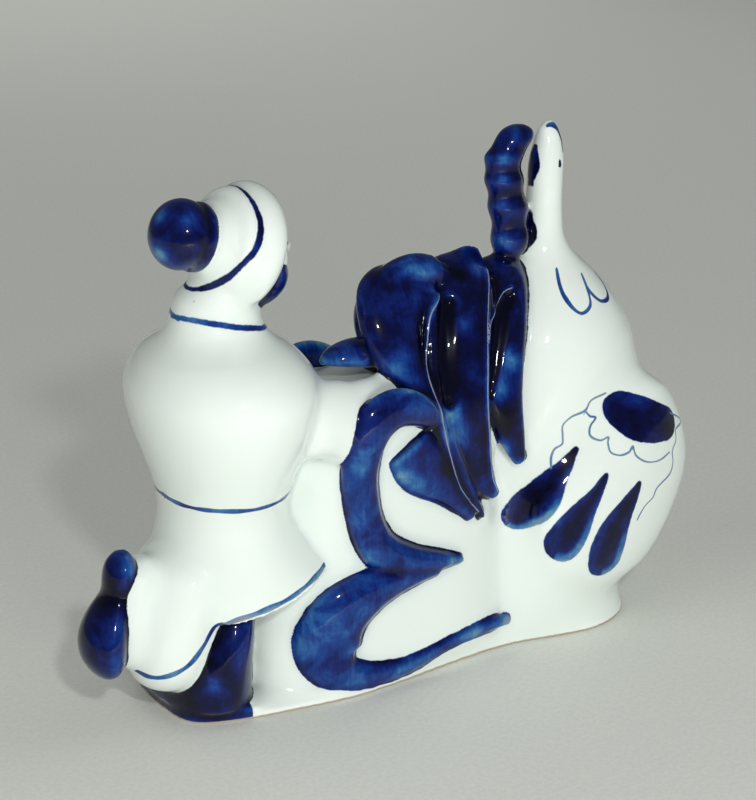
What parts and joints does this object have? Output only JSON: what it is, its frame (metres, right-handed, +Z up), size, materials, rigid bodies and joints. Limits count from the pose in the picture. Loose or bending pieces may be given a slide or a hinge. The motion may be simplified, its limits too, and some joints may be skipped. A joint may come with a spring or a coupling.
{
  "type": "porcelain figurine group, man and rooster",
  "caption": "Hand-painted blue and white porcelain figurine of a kneeling man in a pompon hat beside a crowing rooster with arched tail plumes.",
  "frame": {"origin": "centre of the unglazed resting face under the foot plate", "axes": "+X from the kneeling man to the rooster's breast, +Z up, -Y the side that is shown"},
  "size_m": [0.1577, 0.0559, 0.1226],
  "materials": {
    "white_glaze": "gloss",
    "cobalt_glaze": "gloss",
    "bisque_foot": "matt"
  },
  "bodies": {
    "root": {"foot_plate": "bisque_foot", "tunic": "white_glaze", "coat_skirt": "white_glaze", "coat_tail": "white_glaze", "neck": "white_glaze", "head": "white_glaze", "beard": "cobalt_glaze", "hat_brim": "white_glaze", "hat_crown": "white_glaze", "hat_pompon": "cobalt_glaze", "right_arm": "white_glaze", "left_arm": "white_glaze", "left_hand": "white_glaze", "kneeling_leg": "cobalt_glaze", "boot": "white_glaze", "boot_sole": "cobalt_glaze", "front_leg": "cobalt_glaze", "front_boot": "white_glaze", "rooster_body": "white_glaze", "rooster_neck": "white_glaze", "rooster_beak": "cobalt_glaze", "rooster_comb": "cobalt_glaze", "near_wing": "white_glaze", "far_wing": "white_glaze", "tail_body": "white_glaze", "tail_crest": "cobalt_glaze", "plume_back": "cobalt_glaze", "plume_middle": "cobalt_glaze", "plume_front": "cobalt_glaze", "tail_leaf": "cobalt_glaze", "near_upper_curl": "cobalt_glaze", "near_lower_curl": "cobalt_glaze", "far_upper_curl": "cobalt_glaze", "far_lower_curl": "cobalt_glaze", "near_tail_fan": "cobalt_glaze", "far_tail_fan": "cobalt_glaze"}
  },
  "joints": []
}
